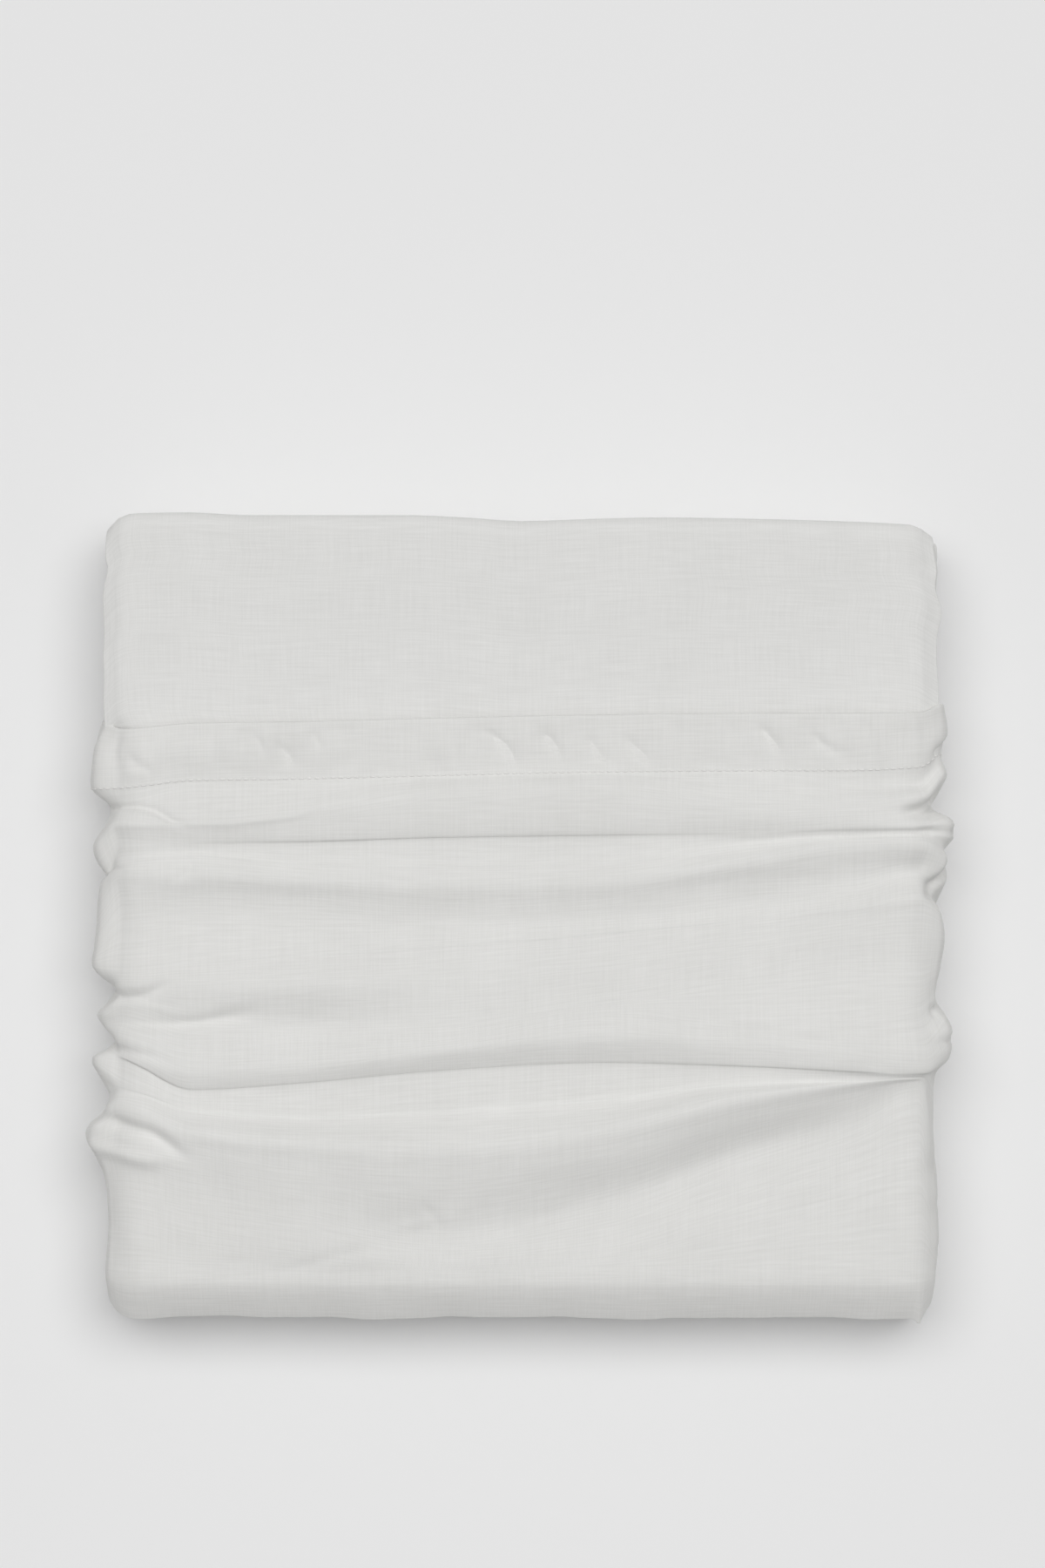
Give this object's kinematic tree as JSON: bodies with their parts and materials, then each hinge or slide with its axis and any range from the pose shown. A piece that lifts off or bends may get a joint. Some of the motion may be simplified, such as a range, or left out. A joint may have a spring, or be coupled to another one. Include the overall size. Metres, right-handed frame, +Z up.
{
  "type": "folded duvet cover in its linen bag",
  "caption": "Linen duvet cover folded to a flat packet in a matching slip bag, whose cloth is pushed down in soft cross folds below a wide stitched hem.",
  "frame": {"origin": "centre of the bundle's outline, on the surface it lies on", "axes": "+X across the bundle, to the right with the bare end of the cover away from the viewer; +Y towards the bare end of the folded cover, away from the bag's sewn end; +Z up from the surface"},
  "size_m": [0.3754, 0.3484, 0.0614],
  "materials": {
    "cover_linen": "matt plain-woven white linen, slightly slubby",
    "bag_linen": "matt plain-woven white linen, slightly slubby, topstitched at the hem"
  },
  "bodies": {
    "root": {"folded_cover": "cover_linen", "linen_bag": "bag_linen"}
  },
  "joints": []
}
